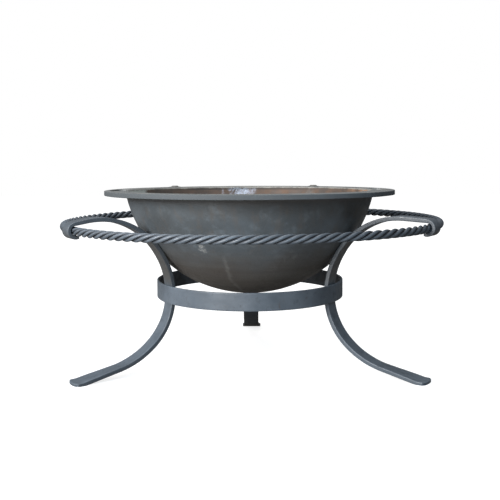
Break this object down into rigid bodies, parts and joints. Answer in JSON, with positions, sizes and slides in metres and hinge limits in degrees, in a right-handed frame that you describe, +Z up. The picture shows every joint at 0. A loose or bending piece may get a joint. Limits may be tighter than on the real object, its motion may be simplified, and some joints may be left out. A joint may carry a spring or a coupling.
{
  "type": "fire pit",
  "caption": "Round cast fire bowl with a wide slotted rim, set in a splayed forged stand with a rope-twist outer rail, with a loose fire grate inside.",
  "frame": {"origin": "on the floor, on the vertical axis of the bowl", "axes": "+Z up, -Y towards the two front feet, +X to the right seen from the front"},
  "size_m": [0.7844, 0.7924, 0.3628],
  "materials": {
    "cast_bowl": "slate grey, rust-stained",
    "forged_stand": "blackened, slightly glossy",
    "grate_iron": "burnt and rusty"
  },
  "bodies": {
    "stand": {"support_band": "forged_stand", "leg_left": "forged_stand", "leg_right": "forged_stand", "leg_back": "forged_stand", "band_welds": "forged_stand", "ring_strand_1": "forged_stand", "ring_strand_2": "forged_stand", "ring_strand_3": "forged_stand", "ring_strand_4": "forged_stand"},
    "bowl": {"bowl": "cast_bowl"},
    "grate": {"grate_hoop": "grate_iron", "grate_bar_1": "grate_iron", "grate_bar_2": "grate_iron", "grate_bar_3": "grate_iron", "grate_bar_4": "grate_iron", "grate_bar_5": "grate_iron", "grate_bar_6": "grate_iron", "grate_bar_7": "grate_iron", "grate_bar_8": "grate_iron", "grate_bar_9": "grate_iron", "grate_cross_left": "grate_iron", "grate_cross_right": "grate_iron"}
  },
  "joints": [
    {"name": "bowl_lift", "type": "slide", "parent": "stand", "child": "bowl", "axis": [0, 0, 1], "range_m": [0, 0.22]},
    {"name": "grate_lift", "type": "slide", "parent": "bowl", "child": "grate", "axis": [0, 0, 1], "range_m": [0, 0.2]}
  ]
}
